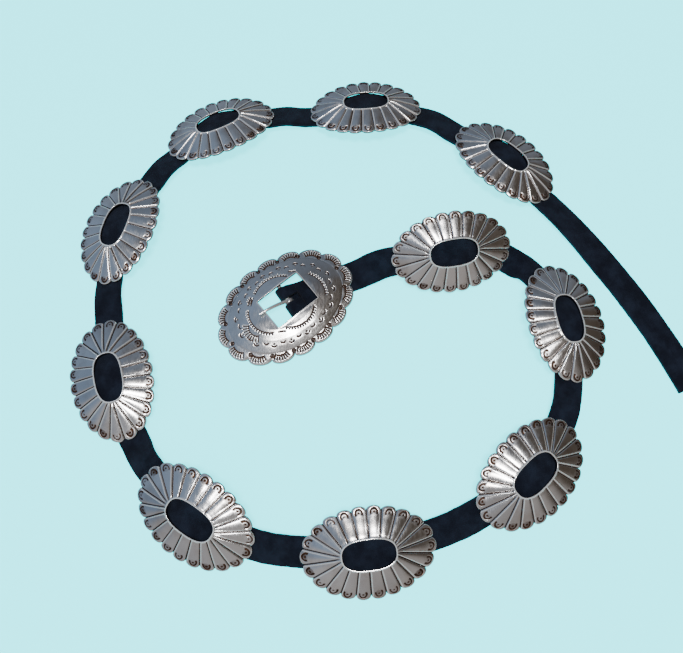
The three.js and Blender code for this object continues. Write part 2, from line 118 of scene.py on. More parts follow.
# The hinge's place is the middle of the heel bar, where the strap's route starts.
joint_place = np.array(frame["joints"][0]["pos_m"]) / MM
ORIGIN = np.array([joint_place[0], joint_place[1], 0.0])


def smooth(x):
    """Eases from 0 to 1: (1 - cos(pi x)) / 2 with x held between 0 and 1."""
    return (1 - np.cos(np.pi * np.clip(x, 0, 1))) / 2


def ridge_line(distance, width):
    """A bell over the distance from a line: exp(-(distance / width)^2)."""
    return np.exp(-(distance / width) ** 2)


def waves(x, y, seed, size, count=7):
    """Gentle unevenness of hand work: a sum of plane sine waves with lengths near size, of height 1."""
    rng = np.random.default_rng(seed)
    total = np.zeros_like(x)
    for _ in range(count):
        way, phase = rng.uniform(0, 2 * np.pi, 2)
        length = size * rng.uniform(0.6, 1.7)
        total += np.sin(2 * np.pi * (x * np.cos(way) + y * np.sin(way)) / length + phase)
    return total / math.sqrt(count)


def grid_faces(rows, columns, wrap_rows, wrap_columns):
    """Quads of a grid of points that are numbered row by row. A wrapped direction closes on itself."""
    r = np.arange(rows if wrap_rows else rows - 1)
    c = np.arange(columns if wrap_columns else columns - 1)
    r, c = np.meshgrid(r, c, indexing="ij")
    r, c = r.ravel(), c.ravel()
    r2, c2 = (r + 1) % rows, (c + 1) % columns
    return np.stack([r * columns + c, r * columns + c2, r2 * columns + c2, r2 * columns + c], 1)


def mesh_piece(name, points, quads, attributes=None):
    """Makes one smooth mesh from points in millimetres and quads, with a float attribute per point."""
    mesh = bpy.data.meshes.new(name)
    mesh.vertices.add(len(points))
    mesh.vertices.foreach_set("co", (np.asarray(points, np.float32) * MM).ravel())
    mesh.loops.add(4 * len(quads))
    mesh.polygons.add(len(quads))
    mesh.loops.foreach_set("vertex_index", np.asarray(quads, np.int32).ravel())
    mesh.polygons.foreach_set("loop_start", np.arange(0, 4 * len(quads), 4, dtype=np.int32))
    mesh.update(calc_edges=True)
    mesh.polygons.foreach_set("use_smooth", np.ones(len(quads), bool))
    for key, values in (attributes or {}).items():
        layer = mesh.attributes.new(key, "FLOAT", "POINT")
        layer.data.foreach_set("value", np.asarray(values, np.float32).ravel())
    piece = bpy.data.objects.new(name, mesh)
    bpy.context.scene.collection.objects.link(piece)
    return piece


def stack(parts):
    """Joins (points, quads, attributes) parts into one, with each part's quads renumbered."""
    start, all_quads = 0, []
    for points, quads, _ in parts:
        all_quads.append(quads + start)
        start += len(points)
    keys = parts[0][2].keys()
    return (np.concatenate([p for p, _, _ in parts]), np.concatenate(all_quads),
            {k: np.concatenate([a[k] for _, _, a in parts]) for k in keys})


def even_oval(length, width, turn, fullness=2.0, gather=0.0):
    """Points of an oval, evenly along its outline: turn 0 is the end of the long axis, 1 once round.
    Each half axis is multiplied by sign(c) |c|^(2 / fullness), and gather crowds the points together at
    the oval's two ends, by taking gather sin(4 pi turn) / (4 pi) off the turn."""
    angle = np.linspace(0, 2 * np.pi, 5761)
    c, s = np.cos(angle), np.sin(angle)
    x = length / 2 * np.sign(c) * np.abs(c) ** (2 / fullness)
    y = width / 2 * np.sign(s) * np.abs(s) ** (2 / fullness)
    run = np.concatenate([[0], np.cumsum(np.hypot(np.diff(x), np.diff(y)))])
    at = np.mod(turn - gather * np.sin(4 * np.pi * turn) / (4 * np.pi), 1) * run[-1]
    return np.interp(at, run, x), np.interp(at, run, y)


# The strap's route
def turn_matrix(heading):
    """Turns a vector about +Z by heading radians."""
    c, s = math.cos(heading), math.sin(heading)
    return np.array([[c, -s, 0], [s, c, 0], [0, 0, 1]])


def lean_matrix(lean):
    """Turns a vector about +X by lean radians."""
    c, s = math.cos(lean), math.sin(lean)
    return np.array([[1, 0, 0], [0, c, -s], [0, s, c]])


def lay_route(step=0.25):
    """The strap's middle line seen from above. Its heading is a broken line over the run, because each
    half of a stretch is an arc, and its place is the running sum of unit steps along the heading."""
    knots, headings = [0, LEAD_LENGTH], [STRAP_HEADING, STRAP_HEADING]
    middles = []
    behind = LEAD_LENGTH
    for number, (span, first, second, _, _) in enumerate(ROUTE):
        last = number == len(ROUTE) - 1
        bend = (span * CONCHO_SPACING - behind - (0 if last else HELD_LENGTH)) / 2
        for turn in (first, second):
            knots.append(knots[-1] + bend)
            headings.append(headings[-1] + turn)
        if not last:
            middles.append(knots[-1] + HELD_LENGTH)
            knots.append(knots[-1] + 2 * HELD_LENGTH)
            headings.append(headings[-1])
        behind = HELD_LENGTH
    count = int(round(knots[-1] / step))
    run = np.linspace(0, knots[-1], count + 1)
    heading = np.radians(np.interp(run, knots, headings))
    half_way = np.radians(np.interp((run[1:] + run[:-1]) / 2, knots, headings))
    steps = np.diff(run)
    x = np.concatenate([[0], np.cumsum(steps * np.cos(half_way))])
    y = np.concatenate([[0], np.cumsum(steps * np.sin(half_way))])
    return run, x, y, heading, np.array(middles)


RUN, LINE_X, LINE_Y, LINE_HEADING, CONCHO_RUNS = lay_route()


def strap_half(run):
    """Half the strap's width. The flare of its folded end eases away under the first concho."""
    flare_end = CONCHO_SPACING - HOLE_LENGTH / 2
    part = (run - flare_end + CONCHO_LENGTH / 2) / (CONCHO_LENGTH / 2)
    return STRAP_WIDTH / 2 + STRAP_FLARE * (1 - smooth(part))


def edge_drop(normal, heading, run):
    """How far the lower edge of a strap with this heading is below its middle."""
    return strap_half(run) * np.abs(normal[..., 1] * np.cos(heading) - normal[..., 0] * np.sin(heading))


def concho_seats():
    """Each concho's place, heading, lean, normal and level. The level is the lowest that the rim and
    the strap's lower edge allow."""
    seats = []
    for run, (_, _, _, lean, petal_shift) in zip(CONCHO_RUNS, ROUTE):
        x, y = np.interp(run, RUN, LINE_X), np.interp(run, RUN, LINE_Y)
        heading, lean = np.interp(run, RUN, LINE_HEADING), math.radians(lean)
        normal = turn_matrix(heading) @ lean_matrix(lean) @ np.array([0, 0, 1.0])
        near = np.abs(RUN - run) <= SEAT_REACH
        fall = ((LINE_X[near] - x) * normal[0] + (LINE_Y[near] - y) * normal[1]) / normal[2]
        strap_drop = np.max(edge_drop(normal, LINE_HEADING[near], RUN[near]) + fall)
        rim_drop = CONCHO_WIDTH / 2 * abs(math.sin(lean)) - (RIM_LEVEL + CONCHO_BEND) * math.cos(lean)
        seats.append({"run": run, "x": x, "y": y, "heading": heading, "lean": lean,
                      "normal": normal, "level": max(strap_drop, rim_drop),
                      "petal_shift": petal_shift})
    return seats


SEATS = concho_seats()


def in_hole(run, seat):
    """How far the strap is within a concho's hole: (1 - t^2)^2, with t from 0 in the middle to 1 just
    outside the hole's end."""
    part = np.clip(np.abs(run - seat["run"]) / HOLE_REACH, 0, 1)
    return (1 - part ** 2) ** 2


def plane_level(seat, x, y):
    """Height over (x, y) of the plane through a seat, square to the seat's normal."""
    normal = seat["normal"]
    return seat["level"] - ((x - seat["x"]) * normal[0] + (y - seat["y"]) * normal[1]) / normal[2]


def strap_line(run):
    """Middle, direction and normal of the strap at each run. Between two seats the level and the normal
    ease from one seat's plane to the next, and an arch lifts the strap into each concho."""
    x, y = np.interp(run, RUN, LINE_X), np.interp(run, RUN, LINE_Y)
    heading = np.interp(run, RUN, LINE_HEADING)
    beyond = 1e6  # past either end of any run
    flat = {"x": 0, "y": 0, "level": 0, "normal": np.array([0, 0, 1.0])}
    holds = [(flat, -FOLDED_END, BUCKLE_LENGTH / 2 - BAR_SHIFT)]
    holds += [(s, s["run"] - SEAT_REACH, s["run"] + SEAT_REACH) for s in SEATS]
    holds += [(flat, SEATS[-1]["run"] + 2.5 * SEAT_REACH, beyond)]
    level = np.zeros_like(run)
    normal = np.zeros((len(run), 3))
    for k, (seat, start, end) in enumerate(holds):
        before, _, leave = holds[max(k - 1, 0)]
        here = (run <= end) & (run > (leave if k else -beyond))
        share = smooth((run[here] - leave) / (start - leave)) if k else np.ones(here.sum())
        first, second = (plane_level(plane, x[here], y[here]) for plane in (before, seat))
        level[here] = first * (1 - share) + second * share
        mixed = before["normal"] * (1 - share[:, None]) + seat["normal"] * share[:, None]
        normal[here] = mixed / np.linalg.norm(mixed, axis=1)[:, None]
    level = np.maximum(level, edge_drop(normal, heading, run))

    # The strap comes down from the fold onto the folded end, and past that end onto the surface.
    flat_level = STRAP_THICKNESS / 2
    over_fold, over_end = BAR_LEVEL + FOLD_RADIUS, flat_level + STRAP_THICKNESS + CLEARANCE
    rise = over_fold + (over_end - over_fold) * smooth(run / (0.85 * FOLDED_END))
    rise = rise + (flat_level - rise) * smooth((run - 1.05 * FOLDED_END) / (0.8 * FOLDED_END))
    for seat in SEATS:
        part = np.clip(np.abs(run - seat["run"]) / ARCH_REACH, 0, 1)
        rise = rise + ARCH_RISE * (1 - part ** 2) ** 1.5
        rise = rise + HOLE_SWELL * in_hole(run, seat)
    middle = np.stack([x, y, level], 1) + normal * rise[:, None]
    along = np.gradient(middle, axis=0)
    along /= np.linalg.norm(along, axis=1)[:, None]
    return middle, along, normal


# Materials
def set_socket(socket, value):
    """Links a socket to what is given as another node's socket, or else sets its value."""
    if isinstance(value, bpy.types.NodeSocket):
        socket.id_data.links.new(value, socket)
    else:
        socket.default_value = value


def set_sockets(node, values):
    """Sets or links a node's sockets by name."""
    for key, value in values.items():
        set_socket(node.inputs[key], value)


def node_tree(tree):
    """A short call that adds a node to a tree with its settings and sockets. A socket is named by its
    key, with _ for a space, or by its place, as in i0."""
    def add(kind, settings=None, **sockets):
        node = tree.nodes.new(kind)
        for key, value in (settings or {}).items():
            setattr(node, key, value)
        for key, value in sockets.items():
            by_place = key[0] == "i" and key[1:].isdigit()
            set_socket(node.inputs[int(key[1:]) if by_place else key.replace("_", " ")], value)
        return node
    return add


def new_material(name):
    """A new material, its shader, and the call that adds nodes to it."""
    material = bpy.data.materials.new(name)
    material.use_nodes = True
    return material, material.node_tree.nodes["Principled BSDF"], node_tree(material.node_tree)


def new_group(name, inputs, outputs):
    """An empty shader node group with named float or colour sockets."""
    group = bpy.data.node_groups.new(name, "ShaderNodeTree")
    for way, sockets in (("INPUT", inputs), ("OUTPUT", outputs)):
        for key, kind in sockets.items():
            group.interface.new_socket(name=key, in_out=way, socket_type=kind)
    return group, group.nodes.new("NodeGroupInput"), group.nodes.new("NodeGroupOutput")


def mix_colour(add, share, a, b):
    """A colour mix node's result: colour a where the share is 0, and b where it is 1."""
    node = add("ShaderNodeMix", {"data_type": "RGBA"})
    colour_a, colour_b = 6, 7  # places of the node's colour sockets
    for place, value in ((0, share), (colour_a, a), (colour_b, b)):
        set_socket(node.inputs[place], value)
    return node.outputs[2]


def ramp(add, value, low, high, to_low=0.0, to_high=1.0):
    """A smooth step of a value between two limits."""
    node = add("ShaderNodeMapRange", {"interpolation_type": "SMOOTHSTEP"}, Value=value,
               From_Min=low, From_Max=high, To_Min=to_low, To_Max=to_high)
    return node.outputs[0]


def multiply_add(add, value, factor, addend):
    """value * factor + addend."""
    return add("ShaderNodeMath", {"operation": "MULTIPLY_ADD"}, i0=value, i1=factor, i2=addend).outputs[0]


def tarnish_group():
    """Colour, roughness and height of old hand-worked silver: brown in the stamps, patchy tarnish on
    the open metal, fine scratches, and bright high places. The bright high places are worn metal and
    also painted highlight on edges, and the dark tone of the stamps is also painted shade on the
    plates' undersides and walls."""
    group, given, result = new_group(
        "tarnished silver",
        {"Stamp": "NodeSocketFloat", "Polish": "NodeSocketFloat", "Warmth": "NodeSocketFloat"},
        {"Color": "NodeSocketColor", "Roughness": "NodeSocketFloat", "Height": "NodeSocketFloat"})
    add = node_tree(group)
    place = add("ShaderNodeTexCoord").outputs["Object"]
    patches = add("ShaderNodeTexNoise", Vector=place, Scale=70.0, Detail=4.0, Roughness=0.6).outputs[0]
    clouds = add("ShaderNodeTexNoise", Vector=place, Scale=22.0, Detail=3.0).outputs[0]
    grain = add("ShaderNodeTexNoise", Vector=place, Scale=900.0, Detail=3.0, Roughness=0.7).outputs[0]
    stretched = add("ShaderNodeMapping", Vector=place, Scale=(1.0, 0.12, 1.0), Rotation=(0, 0, 0.6))
    scratches = add("ShaderNodeTexNoise", Vector=stretched.outputs[0], Scale=2200.0, Detail=2.0).outputs[0]

    clean, warm, dull = (0.62, 0.61, 0.60, 1), (0.36, 0.29, 0.23, 1), (0.30, 0.31, 0.33, 1)
    bright, soot_and_shade, rust_and_shade = (0.86, 0.855, 0.84, 1), (0.035, 0.016, 0.010, 1), (0.10, 0.052, 0.030, 1)
    metal = mix_colour(add, ramp(add, clouds, 0.42, 0.68, 0.0, 0.45), clean, dull)
    warm_share = multiply_add(add, ramp(add, patches, 0.45, 0.75), given.outputs["Warmth"], 0.0)
    metal = mix_colour(add, warm_share, metal, warm)
    # Where the polish mask is high the colour turns pale: worn bright metal and painted highlight on
    # edges.
    worn_and_highlit = mix_colour(add, given.outputs["Polish"], metal, bright)
    # The soot and rust tone of tarnish in the stamps, also used as painted shade on undersides, walls and
    # the buckle window's inner edge.
    grime_and_shade = mix_colour(add, ramp(add, grain, 0.35, 0.7), soot_and_shade, rust_and_shade)
    colour = mix_colour(add, ramp(add, given.outputs["Stamp"], 0.12, 0.75), worn_and_highlit, grime_and_shade)
    rough = ramp(add, scratches, 0.3, 0.75, 0.17, 0.27)
    rough = multiply_add(add, given.outputs["Stamp"], 0.4, rough)
    rough = multiply_add(add, given.outputs["Polish"], -0.12, rough)
    height = multiply_add(add, scratches, 0.25, grain)
    set_sockets(result, {"Color": colour, "Roughness": rough, "Height": height})
    return group


def silver_material(name, warmth, group):
    """Silver with the masks that its pieces carry as attributes."""
    material, shader, add = new_material(name)
    # The stamp attribute holds tarnish in the stamps and painted shade on undersides and edges; the polish
    # attribute holds worn bright metal and painted highlight.
    stamp = add("ShaderNodeAttribute", {"attribute_name": "stamp"}).outputs["Fac"]
    polish = add("ShaderNodeAttribute", {"attribute_name": "polish"}).outputs["Fac"]
    finish = add("ShaderNodeGroup", {"node_tree": group}, Stamp=stamp, Polish=polish, Warmth=warmth)
    bump = add("ShaderNodeBump", Strength=0.4, Distance=0.00004, Height=finish.outputs["Height"])
    # The fine scratches on worn edges throw light every way, which less metal in the shader stands for.
    # Less metal under the pale colour is also a painted highlight that shows bright from every side.
    metal = multiply_add(add, polish, -0.55, 1.0)
    set_sockets(shader, {"Metallic": metal, "Base Color": finish.outputs["Color"],
                         "Roughness": finish.outputs["Roughness"], "Normal": bump.outputs[0]})
    return material


def suede_material():
    """Black suede: a short nap that catches the light unevenly, brushed light and dark in patches."""
    material, shader, add = new_material("black suede")
    place = add("ShaderNodeTexCoord").outputs["Object"]
    nap = add("ShaderNodeTexNoise", Vector=place, Scale=1500.0, Detail=4.0, Roughness=0.7).outputs[0]
    brushed = add("ShaderNodeTexNoise", Vector=place, Scale=130.0, Detail=3.0, Roughness=0.6).outputs[0]
    dark, light, raised = (0.0016, 0.0030, 0.009, 1), (0.008, 0.0125, 0.025, 1), (0.014, 0.018, 0.032, 1)
    colour = mix_colour(add, ramp(add, brushed, 0.3, 0.75), dark, light)
    colour = mix_colour(add, ramp(add, nap, 0.55, 0.8, 0.0, 0.5), colour, raised)
    bump = add("ShaderNodeBump", Strength=0.7, Distance=0.0003, Height=nap)
    set_sockets(shader, {"Base Color": colour, "Roughness": 0.95, "Specular IOR Level": 0.2,
                         "Sheen Weight": 0.03, "Sheen Roughness": 0.6, "Normal": bump.outputs[0]})
    return material


# Conchos, with the relief of their petals
LIP_PITCH, RIM_PITCH = 3.1, 8.35  # width of a petal at the hole and at the rim
GROOVE_DEPTH, GROOVE_REACH = 0.42, 0.62  # a V's depth and half width
BURR_HEIGHT, BURR_PLACE, BURR_WIDTH = 0.16, 0.78, 0.26  # the raised line on one side of each groove
MARK_DEPTH, MARK_RADIUS, MARK_OPENING = 0.32, 1.85, 0.8  # the horseshoe stamp
MARK_FROM_RIM = 2.75
LIP_HEIGHT, LIP_WIDTH = 0.26, 0.4  # the raised lip round the hole


def petal_turns(per_petal=24, crowding=0.62):
    """Turns round the concho, closer together beside each groove: t - k sin(2 pi t) / (2 pi)."""
    t = np.arange(per_petal) / per_petal
    t = t - crowding * np.sin(2 * np.pi * t) / (2 * np.pi)
    return ((np.arange(PETALS)[:, None] + t[None, :]) / PETALS).ravel()


def horseshoe(across, back):
    """A stamped C round the origin: near 1 on the ring except within its opening towards +back, and on
    the dot in its middle."""
    distance = np.hypot(across, back)
    open_side = smooth((np.abs(np.arctan2(across, back)) - MARK_OPENING) / 0.25)
    return np.maximum(ridge_line(distance - MARK_RADIUS, 0.42) * open_side, ridge_line(distance, 0.45))


def concho_surface(seed, petal_shift):
    """The concho's skin over a grid (out, turn). Its plan goes straight from the hole's oval to the
    scalloped rim's ellipse. Its height is the dome's fall, plus a puff across each petal, less the
    V-shaped grooves between petals and the horseshoe stamps near their tips."""
    rng = np.random.default_rng(seed)
    out = np.concatenate([[0, 0.006, 0.014, 0.024, 0.036, 0.05], np.linspace(0.075, 0.6, 13)[:-1],
                          np.linspace(0.6, 0.985, 34), [1.0]])
    out, turn = np.meshgrid(out, petal_turns(), indexing="ij")
    phase = np.mod(turn * PETALS, 1)
    number = np.floor(turn * PETALS + 1e-9).astype(int) % PETALS
    turn = turn + petal_shift / PETALS
    hole_x, hole_y = even_oval(HOLE_LENGTH, HOLE_WIDTH, turn, HOLE_FULLNESS, PETAL_GATHER)
    rim_x, rim_y = even_oval(CONCHO_LENGTH, CONCHO_WIDTH, turn)
    side = np.clip(np.abs(2 * phase - 1), 0, 1)
    notch = PETAL_NOTCH * (1 - (1 - side ** 2.2) ** 0.6)
    shrink = 1 - notch / np.hypot(rim_x, rim_y)
    x = hole_x + (rim_x * shrink - hole_x) * out
    y = hole_y + (rim_y * shrink - hole_y) * out
    length = np.hypot(rim_x - hole_x, rim_y - hole_y)
    lip_pitch = LIP_PITCH * (1 - PETAL_GATHER * np.cos(4 * np.pi * turn))
    pitch = lip_pitch + (RIM_PITCH - lip_pitch) * out
    from_groove = np.minimum(phase, 1 - phase) * pitch
    signed = np.where(phase < 0.5, from_groove, -from_groove)
    from_lip = out * length

    # The dome, each petal's puff and small tilt, and the grooves, which fade out towards the lip.
    fall = 0.92 * out + 0.08 * out ** 2
    z = CONCHO_RISE * (1 - fall) + CONCHO_BEND * (1 - (x / (CONCHO_LENGTH / 2)) ** 2)
    z += PETAL_PUFF * smooth(out / 0.16) * (1 - side ** 2.0)
    tilts = rng.uniform(-0.3, 0.3, PETALS)[number]
    z += tilts * (phase - 0.5) * smooth(out / 0.3) * (1 - side ** 4)
    shown = smooth((from_lip - 0.5) / 0.8) * smooth((pitch - 0.7) / 1.6)
    struck_groove = rng.uniform(0.8, 1.15, PETALS)
    groove = np.where(phase < 0.5, struck_groove[number], struck_groove[(number + 1) % PETALS]) * shown
    z -= GROOVE_DEPTH * np.clip(1 - from_groove / GROOVE_REACH, 0, 1) ** 1.2 * groove
    burr = ridge_line(signed - BURR_PLACE, BURR_WIDTH) * shown
    z += BURR_HEIGHT * burr

    # One horseshoe near each tip, each set down a little askew and with its own force.
    shift = rng.uniform(-0.25, 0.25, (2, PETALS))
    across = (phase - 0.5) * pitch * 0.98 + shift[0][number]
    back = (1 - out) * length - MARK_FROM_RIM + shift[1][number]
    swing = rng.normal(0, 0.16, PETALS)[number]
    mark_x = across * np.cos(swing) - back * np.sin(swing)
    mark_y = across * np.sin(swing) + back * np.cos(swing)
    struck = rng.uniform(0.65, 1.1, PETALS)[number]
    mark = horseshoe(mark_x, mark_y * 1.12) * (out > 0.55)
    z -= MARK_DEPTH * mark * struck

    # The rounded rim, the unevenness of hand work, and the lip.
    tip = smooth((out - 0.93) / 0.07)
    z -= 0.12 * tip ** 2
    z += 0.05 * waves(x, y, seed + 50, 9.0) * smooth((from_lip - 0.6) / 2) * (1 - tip)
    lip = ridge_line(from_lip - LIP_WIDTH, LIP_WIDTH)
    z += LIP_HEIGHT * lip

    wear = np.clip(waves(x, y, seed + 90, 12.0) * 0.5 + 0.35, 0, 1)
    soil = smooth((2.6 - np.hypot(across, back)) / 1.2) * (out > 0.5)
    line = ridge_line(from_groove, 0.27) * groove
    stamp = np.clip(0.95 * line + mark * struck + 0.36 * soil * (0.4 + wear), 0, 1)
    # The lip, the burr beside each groove and the outer edge of each tip are pale: worn bright metal and
    # painted highlight.
    polish = np.clip(lip + 0.8 * burr * (1 - mark) + 0.6 * smooth((out - 0.975) / 0.02), 0, 1)
    return x, y, z + CONCHO_PLATE, stamp, polish


def plate_part(surface, thickness, rows_below):
    """A whole plate from the grids of its skin. Its underside is a few of the same rows in reverse, a
    thickness lower, so that the grid closes round the opening and round the rim."""
    x, y, z, stamp, polish = surface
    low = np.linspace(len(x) - 1, 0, rows_below).round().astype(int)
    grids = [np.concatenate(pair) for pair in ((x, x[low]), (y, y[low]), (z, z[low] - thickness))]
    # The underside takes the full stamp mask and no polish: painted shade under the plate, which also
    # darkens the walls round the opening and the rim.
    marks = {"stamp": np.concatenate([stamp, np.ones_like(x[low])]).ravel(),
             "polish": np.concatenate([polish, np.zeros_like(x[low])]).ravel()}
    quads = grid_faces(*grids[0].shape, True, True)[:, ::-1]
    return np.stack(grids, -1).reshape(-1, 3), quads, marks


def box_part(centre, size, attributes):
    """A closed box of six quads about its centre."""
    corners = np.array([[a, b, c] for c in (-1, 1) for b in (-1, 1) for a in (-1, 1)], float)
    quads = np.array([[0, 2, 3, 1], [4, 5, 7, 6], [0, 1, 5, 4], [2, 6, 7, 3], [0, 4, 6, 2], [1, 3, 7, 5]])
    points = np.asarray(centre) + corners * np.asarray(size) / 2
    return points, quads, {k: np.full(8, v) for k, v in attributes.items()}


def concho_part(seed, petal_shift):
    """One concho about its own middle: the plate, and the keeper strip with its two legs."""
    plate = plate_part(concho_surface(seed, petal_shift), CONCHO_PLATE, 6)
    strip_top = ARCH_RISE - CLEARANCE - RIM_LEVEL
    strip_level = strip_top - KEEPER_THICKNESS / 2
    leg_inner = STRAP_WIDTH / 2 + CLEARANCE + 0.2
    strip_size = (KEEPER_WIDTH, 2 * (leg_inner + KEEPER_THICKNESS), KEEPER_THICKNESS)
    # The keeper takes the full stamp mask and no polish: painted shade under the plate.
    marks = {"stamp": 1.0, "polish": 0.0}
    strip = box_part((0, 0, strip_level), strip_size, marks)
    out = (leg_inner - HOLE_WIDTH / 2) / (CONCHO_WIDTH / 2 - HOLE_WIDTH / 2)
    leg_top = CONCHO_BEND + CONCHO_RISE * (1 - out) + CONCHO_PLATE / 2
    leg_size = (KEEPER_WIDTH - 0.1, KEEPER_THICKNESS, leg_top - strip_level)
    leg_place = leg_inner + KEEPER_THICKNESS / 2
    legs = [box_part((0, side * leg_place, (strip_level + leg_top) / 2), leg_size, marks)
            for side in (-1, 1)]
    return stack([plate, strip] + legs)


def make_concho(number, seat, material):
    """Puts a concho on its seat: turned to its heading, leaned, and lifted by the strap's thickness."""
    points, quads, attributes = concho_part(number, seat["petal_shift"])
    turn = turn_matrix(seat["heading"]) @ lean_matrix(seat["lean"])
    place = ORIGIN + [seat["x"], seat["y"], seat["level"]] + seat["normal"] * RIM_LEVEL
    name = f"concho_{number:02d}"
    piece = mesh_piece(f"silver_{name}", points @ turn.T + place, quads, attributes)
    piece.data.materials.append(material)
    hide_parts(name)
    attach(piece, "belt")


# Buckle, with its stamped work in the plate's own frame
CUT_DEPTH = 0.42
LOBE_CURVE = 9.4  # from a lobe's tip to the centre of its fan of strokes
STROKE_FOOT, STROKE_TIP = LOBE_CURVE - 4.2, LOBE_CURVE - 1.0  # the strokes' inner and outer radius
BEADED_ARCS = [
    ((-19.1, 8.1), (-21.6, -0.9), (-14.6, -10.9)),
    ((20.9, 7.1), (23.9, -0.9), (21.9, -8.9)),
    ((-7.1, -11.9), (1.9, -15.9), (12.9, -10.9)),
    ((-11.1, 14.1), (1.9, 17.1), (9.9, 12.6)),
]
# Centre, heading, inner and outer radius, spread and number of strokes of each open fan
FANS = [
    ((-20.1, -2.9), 3.32, 5.2, 8.8, 1.95, 9),
    ((-13.6, 10.6), 2.35, 1.8, 4.4, 1.5, 4),
]
STRAIGHT_CUTS = [
    ((-16.6, 9.9), (-13.2, 12.9)),
    ((-17.8, 10.9), (-14.4, 13.9)),
    ((12.6, 14.9), (15.8, 13.0)),
    ((-12.0, -12.2), (-8.6, -13.9)),
]


def window_outline(turn):
    """The window's outline over the turn, with each corner at the turn of one of the grid's columns. It
    is turned about its own middle."""
    short = 5 / 48  # share of the turn from the middle of a short side to its corner
    x, y = WINDOW_LENGTH / 2, WINDOW_WIDTH / 2
    turns = [0, short, 0.25, 0.5 - short, 0.5, 0.5 + short, 0.75, 1 - short, 1]
    xs = np.interp(turn, turns, [x, x, 0, -x, -x, -x, 0, x, x])
    ys = np.interp(turn, turns, [0, y, y, y, 0, -y, -y, -y, 0])
    c, s = math.cos(math.radians(WINDOW_TURN)), math.sin(math.radians(WINDOW_TURN))
    return xs * c - ys * s + WINDOW_SHIFT, xs * s + ys * c + WINDOW_OFFSET


def polar(x, y, centre, heading=0.0):
    """Distance from a centre, and the angle there from a heading, between -pi and pi."""
    dx, dy = x - centre[0], y - centre[1]
    angle = np.mod(np.arctan2(dy, dx) - heading + np.pi, 2 * np.pi) - np.pi
    return np.hypot(dx, dy), angle


def fan(x, y, centre, heading, inner, outer, spread, lines, width=0.3):
    """Short radial lines from a centre, side by side over the spread about the heading, between an
    inner and an outer radius, the inner arc that they stand on, and the ground between the lines."""
    radius, angle = polar(x, y, centre, heading)
    place = (angle / spread + 0.5) * lines - 0.5
    nearest = np.clip(np.round(place), 0, lines - 1)
    sideways = (place - nearest) * spread / lines * radius
    within = smooth((radius - inner) / 0.25) * smooth((outer - radius) / 0.35)
    beam = ridge_line(sideways, width) * within
    beside = smooth((spread / 2 * 1.06 - np.abs(angle)) / 0.08)
    arc = ridge_line(radius - inner, 0.26) * beside
    return beam, arc, within * beside * (1 - beam)


def ring_dot(x, y, centre, radius=0.95):
    """A round punch mark: a ring and the dot inside it."""
    distance, _ = polar(x, y, centre)
    return np.maximum(ridge_line(distance - radius, 0.24), ridge_line(distance, 0.3))


def crescent(x, y, centre, heading, radius=1.6, spread=2.4):
    """A curved stamp: an arc of a circle about the centre, open away from the heading."""
    distance, angle = polar(x, y, centre, heading)
    ends = smooth((spread / 2 - np.abs(angle)) / 0.2)
    return ridge_line(distance - radius, 0.27) * ends


def oval_place(turn, size):
    """A point of the buckle's oval at a size, and the way out from there."""
    x, y = even_oval(BUCKLE_LENGTH * size, BUCKLE_WIDTH * size, np.array([turn]))
    heading = math.atan2(y[0] / BUCKLE_WIDTH ** 2, x[0] / BUCKLE_LENGTH ** 2)
    return np.array([x[0], y[0]]), heading


def circle_through(first, middle, last):
    """Centre and radius of the circle through three points: the place as far from each of them."""
    first, middle, last = np.array(first), np.array(middle), np.array(last)
    sides = 2 * np.array([middle - first, last - first])
    centre = np.linalg.solve(sides, [middle @ middle - first @ first, last @ last - first @ first])
    return centre, float(np.linalg.norm(first - centre))


def beaded_arc(x, y, first, middle, last, pitch=1.5, depth=1.5):
    """Short cuts side by side on the outside of an arc through three points, and the arc itself."""
    centre, radius = circle_through(first, middle, last)
    heading = math.atan2(middle[1] - centre[1], middle[0] - centre[0])
    ends = [math.atan2(p[1] - centre[1], p[0] - centre[0]) - heading for p in (first, last)]
    low, high = sorted(math.remainder(end, 2 * math.pi) for end in ends)
    heading, spread = heading + (low + high) / 2, high - low
    return fan(x, y, centre, heading, radius, radius + depth, spread, int(round(radius * spread / pitch)))


def bar_mark(x, y, start, end, width=0.3):
    """A straight cut between two points: a bell over the distance from the line between them."""
    start, end = np.array(start), np.array(end)
    way = end - start
    share = np.clip(((x - start[0]) * way[0] + (y - start[1]) * way[1]) / (way @ way), 0, 1)
    return ridge_line(np.hypot(x - start[0] - share * way[0], y - start[1] - share * way[1]), width)


def press(layer, mark, strength=1.0):
    """Puts a mark into a layer of stamped work. Where marks overlap the stronger one counts."""
    np.maximum(layer, mark * strength, out=layer)


def lobe_stamps(x, y, cut, soil, bright):
    """The work on the lobes: a fan of strokes on each, with soil in its arc, and a punch mark in each
    notch between two lobes."""
    for lobe in range(LOBES):
        tip, heading = oval_place((lobe + 0.5 + LOBE_SHIFT) / LOBES, 1.0)
        centre = tip - np.array([math.cos(heading), math.sin(heading)]) * LOBE_CURVE
        beam, arc, ground = fan(x, y, centre, heading, STROKE_FOOT, STROKE_TIP, 1.42, 7, 0.38)
        press(bright, ground)
        press(cut, beam)
        press(cut, arc)
        distance, angle = polar(x, y, centre, heading)
        inside = smooth((0.72 - np.abs(angle)) / 0.1)
        press(soil, ridge_line(distance - LOBE_CURVE + 4.1, 0.5) * inside, 0.8)
        joint, _ = oval_place((lobe + LOBE_SHIFT) / LOBES, 0.865)
        press(cut, ring_dot(x, y, joint))
        press(soil, ridge_line(polar(x, y, joint)[0], 1.2), 0.9)


